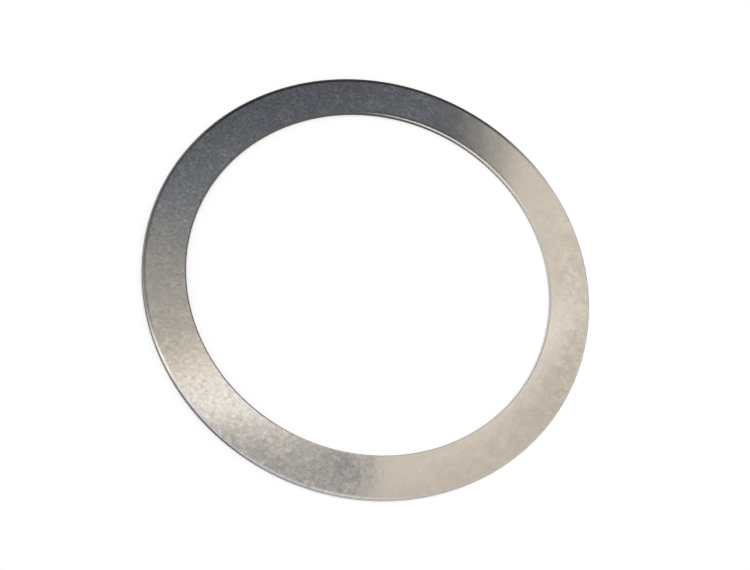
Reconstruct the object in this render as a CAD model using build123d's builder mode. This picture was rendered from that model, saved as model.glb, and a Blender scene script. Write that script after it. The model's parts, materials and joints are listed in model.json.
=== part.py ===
from build123d import *
import os

# An endplay shim: one thin flat ring, blanked and pierced from bright-rolled steel strip.
# Millimetres. The ring's axis is Z, and its lower face lies on z = 0.
# The punches enter at the upper face, so both upper edges are rolled over towards the
# cut walls, the outer one more broadly than the bore's. Both lower edges have only the
# small break left by deburring.

# Driving dimensions
bore_diameter = 58.7
band_width = 6.65  # from the bore's wall to the outer wall, so the ring is 72 across
thickness = 0.8
outer_roll_width = 0.45  # reach of the outer rolled edge, in from the outer wall
outer_roll_depth = 0.15  # its drop, from the upper face down to the outer wall
bore_roll_width = 0.16  # reach of the bore's rolled edge, out from the bore's wall
bore_roll_depth = 0.08  # its drop, from the upper face down to the bore's wall
deburr_radius = 0.06  # break of the two lower edges

bore_radius = bore_diameter / 2
outer_radius = bore_radius + band_width
outer_wall_top = thickness - outer_roll_depth
bore_wall_top = thickness - bore_roll_depth

with BuildPart() as shim_ring:
    # The section on one side of the axis. Each arc is drawn anticlockwise.
    with BuildSketch(Plane.XZ):
        with BuildLine():
            outer_break = CenterArc(
                (outer_radius - deburr_radius, deburr_radius),
                radius=deburr_radius,
                start_angle=-90,
                arc_size=90,
            )
            outer_roll = EllipticalCenterArc(
                (outer_radius - outer_roll_width, outer_wall_top),
                x_radius=outer_roll_width,
                y_radius=outer_roll_depth,
                start_angle=0,
                arc_size=90,
            )
            bore_roll = EllipticalCenterArc(
                (bore_radius + bore_roll_width, bore_wall_top),
                x_radius=bore_roll_width,
                y_radius=bore_roll_depth,
                start_angle=90,
                arc_size=90,
            )
            bore_break = CenterArc(
                (bore_radius + deburr_radius, deburr_radius),
                radius=deburr_radius,
                start_angle=180,
                arc_size=90,
            )
            # Between the arcs: the outer wall, the upper face, the bore's wall, the lower face.
            Line(outer_break @ 1, outer_roll @ 0)
            Line(outer_roll @ 1, bore_roll @ 0)
            Line(bore_roll @ 1, bore_break @ 0)
            Line(bore_break @ 1, outer_break @ 0)
        make_face()
    revolve(axis=Axis.Z)

shim_ring.part.label = "shim_ring"

os.makedirs("parts", exist_ok=True)
export_step(shim_ring.part, "parts/shim_ring.step")
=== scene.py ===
import json
import math

import bmesh
import bpy
from mathutils import Matrix, Vector


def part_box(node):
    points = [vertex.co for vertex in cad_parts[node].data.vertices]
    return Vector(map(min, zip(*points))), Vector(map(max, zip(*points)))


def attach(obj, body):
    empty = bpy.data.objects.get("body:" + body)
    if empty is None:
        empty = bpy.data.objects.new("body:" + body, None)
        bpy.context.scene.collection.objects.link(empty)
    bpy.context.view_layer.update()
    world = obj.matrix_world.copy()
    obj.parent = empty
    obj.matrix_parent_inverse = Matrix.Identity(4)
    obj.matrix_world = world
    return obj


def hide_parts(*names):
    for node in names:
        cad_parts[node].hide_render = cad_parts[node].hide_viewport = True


# An endplay shim lies flat on a white table, under soft studio light. Metres throughout, unless a
# value is said to be in millimetres. The ring is spun and rounded here at the CAD part's own size,
# so that its edges are smooth.

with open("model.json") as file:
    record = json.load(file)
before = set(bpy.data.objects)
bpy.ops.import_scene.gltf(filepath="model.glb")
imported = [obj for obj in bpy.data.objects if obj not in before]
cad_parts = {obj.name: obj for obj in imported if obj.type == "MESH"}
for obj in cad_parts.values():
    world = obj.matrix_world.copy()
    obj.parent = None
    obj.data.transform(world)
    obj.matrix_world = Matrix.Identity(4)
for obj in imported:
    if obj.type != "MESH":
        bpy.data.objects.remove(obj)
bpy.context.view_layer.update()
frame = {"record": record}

MM = 0.001

# The ring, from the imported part
lowest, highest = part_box("shim_ring")
mounts = {mount["name"]: mount for mount in frame["record"]["mounts"]}
finishes = {finish["slot"]: finish for finish in frame["record"]["materials"]}
outer_radius = highest.x
bore_radius = mounts["bore"]["dims"]["r_mm"] * MM
lower_face = lowest.z
upper_face = highest.z
steel_colour = finishes["bright_steel"]["base_color"]

# Its edges
outer_roll_width = 0.45 * MM
outer_roll_depth = 0.15 * MM
bore_roll_width = 0.16 * MM
bore_roll_depth = 0.08 * MM
deburr_radius = 0.06 * MM

# How finely it is made
ring_steps = 720
roll_segments = 8
break_segments = 3
flat_margin = 0.02 * MM  # a narrow strip beside each rounding, which keeps the faces' shading flat
same_circle = 1e-6  # how far a vertex may be off the circle that it lies on
same_height = 1e-7
wall_limit = 0.1  # a facet belongs to a cut wall if its normal points up or down by less than this

# The finish of its faces. The scale of a noise is about how many flecks it has to a metre.
grain_scale = 1400
fine_grain_scale = 2200
grain_crispness = 0.8
cloud_scale = 650
ripple_scale = 1900
ripple_depth = 0.0022 * MM
face_roughness = 0.085
cloud_roughness = 0.05  # added where it is cloudy
edge_shade_level = 0.10  # the brightness of the painted edge shade at its darkest, as a share of the steel's

# Hairline scratches, in millimetres and degrees: the middle's x and y, the angle and the length,
# and how much brighter than the face it is
scratches = [
    (-5.1, 32.8, -28, 3.6, 0.55),
    (28.6, 17.2, -11, 2.4, 0.18),
    (30.1, 14.0, -51, 3.2, 0.18),
    (28.3, 16.2, 32, 1.8, 0.15),
]
scratch_core = 0.05 * MM
scratch_edge = 0.18 * MM

# The finish of its cut walls, which are sheared smooth at the top and torn below. The dark of the torn part
# is partly painted shade along the foot of the walls.
tear_height = lower_face + 0.50 * MM  # where the torn part ends, on the Y axis
tear_slope = 0.018  # how much higher it ends towards -X, which makes the walls darker there
tear_wander = 0.15 * MM
tear_blend = 0.04 * MM
scoring_scale = 6000
scoring_stretch = 0.05  # of the noise's scale up the wall, which draws the scoring out
torn_grain_scale = 9000
wander_scale = 250
sheared_level = 0.92
# the torn part's level is partly painted shade at the foot of the walls
torn_and_shade_level = 0.18
wall_roughness = 0.16
torn_roughness = 0.40  # added where it is torn
scoring_roughness = 0.05  # added where it is scored
wall_bump_depth = 0.01 * MM

# The camera
focal_length = 54.6  # millimetres, on a sensor 36 mm wide
camera_distance = 180.1 * MM
camera_elevation = math.radians(64.3)
camera_roll = math.radians(27.9)
camera_target = Vector((1.0, -1.3, 0.0)) * MM

# The studio
white = (1.0, 1.0, 1.0)
world_level = 0.35
lamp_level = 0.65
lamp_spread = math.radians(45)
table_radius = 4.0
table_level = 0.8
table_lift = 0.21  # takes the lit table up to white
card_height = 0.30
standing_distance = 0.9
standing_width = 1.8
standing_height = 0.7
standing_feathers = (0.1, 0.1, 0.001, 0.2)


class Value:
    """One socket of a shader. Arithmetic on it adds Math nodes to its tree."""

    def __init__(self, tree, socket=None):
        self.tree = tree
        self.socket = socket

    def node(self, kind, settings=None, inputs=None, output=0):
        """Adds a node, sets it up, then gives its sockets their values or links. Returns one output."""
        node = self.tree.nodes.new(kind)
        for name, setting in (settings or {}).items():
            setattr(node, name, setting)
        for name, value in (inputs or {}).items():
            if isinstance(value, Value):
                self.tree.links.new(value.socket, node.inputs[name])
            else:
                node.inputs[name].default_value = value
        return Value(self.tree, node.outputs[output] if node.outputs else None)

    def maths(self, operation, *terms):
        return self.node("ShaderNodeMath", {"operation": operation}, dict(enumerate(terms)))

    def __add__(self, other):
        return self.maths("ADD", self, other)

    def __sub__(self, other):
        return self.maths("SUBTRACT", self, other)

    def __rsub__(self, other):
        return self.maths("SUBTRACT", other, self)

    def __mul__(self, other):
        return self.maths("MULTIPLY", self, other)

    def __abs__(self):
        return self.maths("ABSOLUTE", self)

    __radd__ = __add__
    __rmul__ = __mul__

    def rising(self, start, end):
        """0 up to start and 1 from end, with a smooth rise between."""
        inputs = {"Value": self, "From Min": start, "From Max": end}
        return self.node("ShaderNodeMapRange", {"interpolation_type": "SMOOTHSTEP"}, inputs)


def strongest(first, *others):
    """The highest of some values, everywhere."""
    for other in others:
        first = first.maths("MAXIMUM", first, other)
    return first


def new_material(name):
    """An empty material, and the start of its shader."""
    material = bpy.data.materials.new(name)
    material.use_nodes = True
    material.node_tree.nodes.clear()
    return material, Value(material.node_tree)


def finish_material(shader, surface):
    shader.node("ShaderNodeOutputMaterial", None, {"Surface": surface})


def finish_metal(shader, colour, roughness, bumps, bump_depth):
    """Bare metal. Its bumps are heights from 0 to 1, and the depth is how high a bump of 1 stands."""
    relief = {"Strength": 1.0, "Distance": bump_depth, "Height": bumps}
    normal = shader.node("ShaderNodeBump", None, relief)
    inputs = {"Base Color": colour, "Metallic": 1.0, "Roughness": roughness, "Normal": normal}
    finish_material(shader, shader.node("ShaderNodeBsdfPrincipled", None, inputs))


def opaque(colour, level=1.0):
    """A colour with its alpha, at a level."""
    return tuple(channel * level for channel in colour) + (1.0,)


def mixed_colour(share, first, second):
    """The first colour where share is 0 and the second where it is 1."""
    inputs = {0: share, 6: first, 7: second}
    return share.node("ShaderNodeMix", {"data_type": "RGBA"}, inputs, output=2)


def piece_place(shader):
    """Where a point of a piece is, in the piece's own coordinates."""
    return shader.node("ShaderNodeTexCoord", output="Object")


def noise(place, scale, detail, roughness=0.5):
    inputs = {"Vector": place, "Scale": scale, "Detail": detail, "Roughness": roughness}
    return place.node("ShaderNodeTexNoise", None, inputs)


def distance_along(place, direction):
    """How far a place lies from the origin, along a direction."""
    inputs = {0: place, 1: direction}
    return place.node("ShaderNodeVectorMath", {"operation": "DOT_PRODUCT"}, inputs, output="Value")


def towards(place, direction, start, end):
    """0 up to start and 1 from end, in millimetres from the ring's axis along a level direction."""
    return distance_along(place, (*direction, 0)).rising(start * MM, end * MM)


def by_outer_wall(radius, full, none):
    """1 as far in from the outer wall as full, and 0 from none on, in millimetres."""
    return radius.rising(outer_radius - none * MM, outer_radius - full * MM)


def by_bore(radius, full, none):
    """1 as far out from the bore's wall as full, and 0 from none on, in millimetres."""
    return 1 - radius.rising(bore_radius + full * MM, bore_radius + none * MM)


def hairline(place, middle, angle, reach):
    """1 along a fine straight scratch, which fades towards its ends, and 0 beside it."""
    lengthwise = Vector((math.cos(angle), math.sin(angle), 0))
    sideways = lengthwise.cross(Vector((0, 0, 1)))

    def off_middle(direction):
        return abs(distance_along(place, direction) - middle.dot(direction))

    beside = off_middle(sideways).rising(scratch_core, scratch_edge)
    beyond = off_middle(lengthwise).rising(0.4 * reach, reach)
    return (1 - beside) * (1 - beyond)


def scratch_lines(place):
    """How much brighter the scratches make the face."""
    lines = 0
    for x, y, degrees, length, brightness in scratches:
        middle = Vector((x, y, 0)) * MM
        line = hairline(place, middle, math.radians(degrees), length / 2 * MM)
        lines = lines + brightness * line
    return lines


def grain_and_painted_sheen(place, radius, clouds):
    """How bright the face is, at about 1: its grain, which is coarser on the left, its soft clouds, and a
    painted sheen on the far left.
    """
    grain = noise(place, grain_scale, 3, grain_crispness)
    fine_grain = noise(place, fine_grain_scale, 3, grain_crispness)
    patches = clouds.rising(0.3, 0.7)

    # Parts of the face
    left = towards(place, (-0.97, -0.26), -8.5, -2)
    far = towards(place, (0, 1), -12, 10)
    near = 1 - towards(place, (0, 1), -30, -18)
    finer = left * towards(place, (0, 1), -24, -10)
    scuffed = towards(place, (0.94, 0.34), 29, 32.5)

    # How strongly each of them is marked
    grain_depth = 0.032 + left * (0.055 + 0.045 * near) + 0.03 * scuffed
    fine_depth = finer * (0.15 + 0.09 * far)
    cloud_depth = 0.035 - 0.015 * left + 0.045 * scuffed
    contrast = 5.5 + 6.5 * patches

    flecks = grain_depth * (grain - 0.5) + fine_depth * (fine_grain - 0.5)
    # Painted sheen: the face lighter on the far left, most towards the bore
    painted_sheen = 0.13 * left * far * (1 - radius.rising(bore_radius, outer_radius))
    return 1 + painted_sheen + contrast * flecks + cloud_depth * (2 * patches - 1)


def edge_glints(place, radius):
    """Painted glints: how much brighter two stretches of the rolled edges are, at the bore's far side and
    the outer edge's near left.
    """
    bore_glint = by_bore(radius, 0.10, 0.20) * towards(place, (0.15, 0.989), 27.2, 28.4)
    outer_glint = by_outer_wall(radius, 0.40, 0.55) * towards(place, (-0.629, -0.777), 35.4, 35.75)
    return 0.27 * bore_glint + 0.3 * outer_glint


def painted_edge_shade(place, radius):
    """How much painted shade darkens the face along its edges, from 0 for none to 1. It is strongest on the
    far and left side.
    """
    # Painted shade along the outer edge
    far_part = 0.95 * towards(place, (-0.50, 0.87), 15, 29.5)
    left_part = 0.45 * towards(place, (-0.98, -0.20), 27.5, 32)
    outer_line = by_outer_wall(radius, 0.45, 0.70) * strongest(far_part, left_part)

    # Painted shade along the bore's edge, on the left
    bore_line = 0.88 * by_bore(radius, 0.12, 0.26) * towards(place, (-0.98, -0.17), 1, 11)

    # A thin line of painted shade beside the bore's edge, on the far side
    strong_part = 0.6 * towards(place, (-0.17, 0.985), 28, 29.8)
    faint_part = 0.35 * towards(place, (0.26, 0.966), 28.9, 29.5)
    beside_edge = by_bore(radius, 0.42, 0.60) * (1 - by_bore(radius, 0.22, 0.38))
    inner_line = beside_edge * strongest(strong_part, faint_part)

    # Painted shade where the outer rolled edge turns down into its wall
    rim_line = by_outer_wall(radius, 0.04, 0.12) * (0.8 - 0.35 * towards(place, (1, 0), -9, -2))

    return strongest(outer_line, bore_line, inner_line, rim_line)


def bright_rolled_steel():
    """Bright-rolled strip: a satin mirror with a grain, a few scratches, and painted shade and glints on its
    edges.
    """
    material, shader = new_material("bright_rolled_steel")
    place = piece_place(shader)
    radius = shader.node("ShaderNodeVectorMath", {"operation": "LENGTH"}, {0: place}, output="Value")
    clouds = noise(place, cloud_scale, 3)
    ripple = noise(place, ripple_scale, 1)

    # The face's level: grain, clouds, a painted sheen, scratches and painted glints on the edges
    level = grain_and_painted_sheen(place, radius, clouds) + scratch_lines(place) + edge_glints(place, radius)
    scaled = {0: steel_colour, "Scale": level}
    satin = shader.node("ShaderNodeVectorMath", {"operation": "SCALE"}, scaled)
    # Painted shade along the edges, mixed over the face's colour
    colour = mixed_colour(painted_edge_shade(place, radius), satin, opaque(steel_colour, edge_shade_level))

    roughness = face_roughness + cloud_roughness * clouds.rising(0.4, 0.7)
    finish_metal(shader, colour, roughness, ripple + 0.3 * clouds, ripple_depth)
    return material


def cut_edge_steel():
    """The cut walls: sheared smooth and scored at the top, and torn dull and dark below, the dark partly
    painted shade.
    """
    material, shader = new_material("cut_edge_steel")
    place = piece_place(shader)
    stretch = {"Vector": place, "Scale": (1, 1, scoring_stretch)}
    scoring = noise(shader.node("ShaderNodeMapping", None, stretch), scoring_scale, 2)
    torn_grain = noise(place, torn_grain_scale, 3)
    wander = noise(place, wander_scale, 2)

    height = distance_along(place, (0, 0, 1))
    sideways = distance_along(place, (1, 0, 0))
    above_tear = height - tear_height + tear_slope * sideways + tear_wander * (wander - 0.5)
    torn = 1 - above_tear.rising(-tear_blend, tear_blend)

    # The torn colour is partly painted shade along the foot of the walls
    sheared_colour = opaque(steel_colour, sheared_level)
    torn_and_shade_colour = opaque(steel_colour, torn_and_shade_level)
    colour = mixed_colour(torn, sheared_colour, torn_and_shade_colour)
    roughness = wall_roughness + torn_roughness * torn + scoring_roughness * scoring
    bumps = scoring * (1 - torn) + torn_grain * torn
    finish_metal(shader, colour, roughness, bumps, wall_bump_depth)
    return material


def circle_at(bm, radius, height):
    """The edges of the circle at this radius and height."""

    def on_it(vertex):
        off_radius = abs(math.hypot(vertex.co.x, vertex.co.y) - radius)
        return off_radius < same_circle and abs(vertex.co.z - height) < same_circle

    return [edge for edge in bm.edges if all(on_it(vertex) for vertex in edge.verts)]


def round_edge(bm, radius, height, width, depth, segments):
    """Rounds a circular edge to a quarter of an ellipse, width across its face and depth down its wall."""
    edges = circle_at(bm, radius, height)
    bmesh.ops.scale(bm, vec=(1, 1, width / depth), verts=bm.verts)
    bmesh.ops.bevel(
        bm,
        geom=edges,
        offset=width,
        offset_type="OFFSET",
        segments=segments,
        profile=0.5,
        affect="EDGES",
        material=-1,
    )
    bmesh.ops.scale(bm, vec=(1, 1, depth / width), verts=bm.verts)


def make_ring():
    """The shim: an oblong section spun round the axis, then its four edges rounded."""
    bm = bmesh.new()
    section = [
        bm.verts.new((bore_radius, 0, lower_face)),
        bm.verts.new((outer_radius, 0, lower_face)),
        bm.verts.new((outer_radius, 0, upper_face)),
        bm.verts.new((bore_radius, 0, upper_face)),
    ]
    sides = [bm.edges.new((section[i - 1], section[i])) for i in range(4)]
    bmesh.ops.spin(
        bm,
        geom=section + sides,
        cent=(0, 0, 0),
        axis=(0, 0, 1),
        angle=2 * math.pi,
        steps=ring_steps,
        use_merge=True,
    )
    bmesh.ops.recalc_face_normals(bm, faces=bm.faces)

    round_edge(bm, outer_radius, upper_face, outer_roll_width, outer_roll_depth, roll_segments)
    round_edge(bm, bore_radius, upper_face, bore_roll_width, bore_roll_depth, roll_segments)
    round_edge(bm, outer_radius, lower_face, deburr_radius, deburr_radius, break_segments)
    round_edge(bm, bore_radius, lower_face, deburr_radius, deburr_radius, break_segments)
    for height in (lower_face, upper_face):
        flat = [face for face in bm.faces if all(abs(v.co.z - height) < same_height for v in face.verts)]
        bmesh.ops.inset_region(bm, faces=flat, thickness=flat_margin, use_even_offset=True)
    for face in bm.faces:
        face.smooth = True
        face.material_index = int(abs(face.normal.z) < wall_limit)

    mesh = bpy.data.meshes.new("shim")
    bm.to_mesh(mesh)
    bm.free()
    mesh.materials.append(bright_rolled_steel())
    mesh.materials.append(cut_edge_steel())
    ring = bpy.data.objects.new("shim", mesh)
    bpy.context.scene.collection.objects.link(ring)
    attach(ring, "root")
    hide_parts("shim_ring")


def make_camera():
    """The camera looks down on the ring from the near side, and is rolled about its line of sight."""
    tilt = Matrix.Rotation(math.pi / 2 - camera_elevation, 3, "X")
    rolled = tilt @ Matrix.Rotation(camera_roll, 3, "Z")
    place = camera_target + tilt.col[2] * camera_distance
    lens = bpy.data.cameras.new("camera")
    lens.lens = focal_length
    lens.clip_start = 0.01
    camera = bpy.data.objects.new("camera", lens)
    camera.matrix_world = Matrix.LocRotScale(place, rolled.to_quaternion(), None)
    bpy.context.scene.collection.objects.link(camera)
    bpy.context.scene.camera = camera


def seen_directly(shader):
    """1 for what the camera sees, also in a mirror or through glass, and 0 for light on things."""
    camera = shader.node("ShaderNodeLightPath", output="Is Camera Ray")
    glossy = shader.node("ShaderNodeLightPath", output="Is Glossy Ray")
    clear = shader.node("ShaderNodeLightPath", output="Is Transmission Ray")
    return strongest(camera, glossy, clear)


def light_world():
    """White behind everything, and an even soft light from all round."""
    world = bpy.data.worlds.new("studio")
    world.use_nodes = True
    world.node_tree.nodes.clear()
    shader = Value(world.node_tree)
    colour = mixed_colour(seen_directly(shader), opaque(white, world_level), opaque(white))
    background = shader.node("ShaderNodeBackground", None, {"Color": colour})
    shader.node("ShaderNodeOutputWorld", None, {"Surface": background})
    bpy.context.scene.world = world


def make_lamp():
    """One broad soft light from overhead, as even as an overcast sky."""
    light = bpy.data.lights.new("overhead", "SUN")
    light.angle = lamp_spread
    light.energy = lamp_level * math.pi
    lamp = bpy.data.objects.new("overhead", light)
    lamp.visible_camera = False
    lamp.visible_glossy = False
    bpy.context.scene.collection.objects.link(lamp)


def staged(name, bm, material):
    """A thing of the studio, made from its bmesh."""
    mesh = bpy.data.meshes.new(name)
    bm.to_mesh(mesh)
    bm.free()
    mesh.materials.append(material)
    thing = bpy.data.objects.new(name, mesh)
    bpy.context.scene.collection.objects.link(thing)
    return thing


def table_material():
    """White card. What the camera sees of it is lifted to white where nothing shades it."""
    material, shader = new_material("white_table")
    matt = shader.node("ShaderNodeBsdfDiffuse", None, {"Color": opaque(white, table_level)})
    glow = {"Color": opaque(white), "Strength": table_lift * seen_directly(shader)}
    lift = shader.node("ShaderNodeEmission", None, glow)
    finish_material(shader, shader.node("ShaderNodeAddShader", None, {0: matt, 1: lift}))
    return material


def make_table():
    bm = bmesh.new()
    bmesh.ops.create_circle(bm, cap_ends=True, segments=64, radius=table_radius)
    table = staged("table", bm, table_material())
    table.location.z = lower_face


def card_material(name, colour, width, depth, feathers):
    """A plain lit card whose four edges fade out over their feathers: left, right, near and far."""
    material, shader = new_material(name)
    place = piece_place(shader)
    across = distance_along(place, (1, 0, 0))
    along = distance_along(place, (0, 1, 0))
    left, right, near, far = feathers
    cover = (
        (across + width / 2).rising(0, left)
        * (width / 2 - across).rising(0, right)
        * (along + depth / 2).rising(0, near)
        * (depth / 2 - along).rising(0, far)
    )
    clear = shader.node("ShaderNodeBsdfTransparent")
    lit = shader.node("ShaderNodeEmission", None, {"Color": opaque(colour)})
    finish_material(shader, shader.node("ShaderNodeMixShader", None, {0: cover, 1: clear, 2: lit}))
    return material


def make_card(name, colour, width, depth, feathers):
    """A card in the plane z = 0 round the origin. Only the metal's reflections show it."""
    bm = bmesh.new()
    bmesh.ops.create_grid(bm, x_segments=1, y_segments=1, size=0.5)
    bmesh.ops.scale(bm, vec=(width, depth, 1), verts=bm.verts)
    card = staged(name, bm, card_material(name, colour, width, depth, feathers))
    card.visible_camera = False
    card.visible_diffuse = False
    card.visible_transmission = False
    card.visible_shadow = False
    return card


def hang_card(name, colour, sides, ends, feathers, turn=0, lift=0):
    """A card overhead. Its sides and ends are where the camera sees them mirrored in the upper face.

    Sides are left and right, and ends near and far. Lengths are in millimetres, and the turn, which
    is about the ring's axis, in degrees. Where cards overlap, the one with the least lift is in front.
    """
    left, right = sides
    near, far = ends
    eye = bpy.context.scene.camera.location
    height = card_height + lift * MM
    spread = 1 + height / eye.z  # how much larger the card is than its image on the face
    width = (right - left) * MM * spread
    depth = (far - near) * MM * spread
    card = make_card(name, colour, width, depth, [feather * MM * spread for feather in feathers])
    turned = Matrix.Rotation(math.radians(turn), 3, "Z")
    middle = turned @ Vector(((left + right) / 2, (near + far) / 2, 0)) * MM
    card.location = middle * spread - eye * (spread - 1)
    card.location.z = height
    card.rotation_euler.z = math.radians(turn)


def stand_card(name, colour, azimuth):
    """A card that stands on the table and faces the ring. Azimuth 0 is +Y, and 90 is +X."""
    card = make_card(name, colour, standing_width, standing_height, standing_feathers)
    angle = math.radians(azimuth)
    direction = Vector((math.sin(angle), math.cos(angle), 0))
    middle = direction * standing_distance + Vector((0, 0, standing_height / 2))
    upright = Matrix.Rotation(-angle, 4, "Z") @ Matrix.Rotation(math.pi / 2, 4, "X")
    card.matrix_world = Matrix.Translation(middle) @ upright


bpy.context.scene.view_settings.view_transform = "Standard"
make_ring()
make_camera()
bpy.context.view_layer.update()
light_world()
make_lamp()
make_table()

# Mirrored in the face, on the right
hang_card("low_side_card", (0.85, 0.795, 0.72), (30, 90), (-30, 14), (4, 10, 10, 8), turn=-36)
hang_card("side_card", (0.82, 0.765, 0.69), (28.4, 90), (-20, 23), (3.4, 10, 8, 7), turn=-13, lift=2)
hang_card("pale_card", (1.23, 1.18, 1.11), (18, 40), (-20, 14), (4, 4, 12, 6), lift=5)
hang_card("warm_card", (0.99, 0.935, 0.85), (13.4, 120), (-60, 90), (4.5, 10, 10, 10), turn=6, lift=6)

# Mirrored in the face, on the near side
hang_card("grey_stripe", (0.37, 0.39, 0.43), (-11, 0.3), (-35, -27), (7, 1, 3, 4), turn=25.7, lift=3)
hang_card("deep_grey_card", (0.53, 0.525, 0.52), (-16, 10), (-42, -29.8), (8, 3, 6, 6), turn=7, lift=3.5)
hang_card("grey_front_card", (0.705, 0.695, 0.685), (-60, 0.3), (-66, -24.2), (10, 1, 8, 3),
          turn=25.7, lift=4)
hang_card("low_warm_card", (0.99, 0.935, 0.85), (-7.3, 120), (-60, 5), (7, 10, 10, 5), turn=20, lift=6.5)
hang_card("lamp_core", (1.36, 1.345, 1.32), (-1, 40), (-60, -17), (10, 6, 5, 8), turn=-36, lift=7.5)
hang_card("lamp_card", (1.34, 1.24, 1.06), (-6, 40), (-60, -14), (15, 6, 5, 8), turn=-36, lift=8)

# Mirrored in the face, on the far and left side
hang_card("darkest_card", (0.134, 0.149, 0.185), (-44, -10), (10, 46), (10, 10, 10, 10), lift=11.5)
hang_card("dark_card", (0.159, 0.178, 0.216), (-90, 26), (-23.5, 64), (10, 13.5, 48, 16), turn=25, lift=12)
hang_card("cool_card", (0.61, 0.66, 0.73), (-60, -15), (-15, 50), (10, 8, 11, 10), lift=14)
hang_card("grey_card", (0.73, 0.71, 0.655), (-120, 60), (-46, 90), (20, 2, 8, 20), lift=16)

# Mirrored in the rolled edges
hang_card("middle_card", (1.15, 1.10, 1.03), (-19, 19), (-22, 14), (8, 8, 8, 8), lift=9)
hang_card("glint_card", (1.50, 1.53, 1.58), (-44, -14.5), (-64, -34.5), (6, 5, 6, 5), lift=1)
hang_card("sky_card", (0.86, 0.93, 1.16), (-50, 30), (-150, -56), (10, 20, 20, 10), lift=20)

# Mirrored in the cut walls
stand_card("back_card", (0.52, 0.53, 0.55), 0)
stand_card("left_card", (0.52, 0.53, 0.55), -90)
stand_card("right_card", (0.70, 0.67, 0.63), 90)
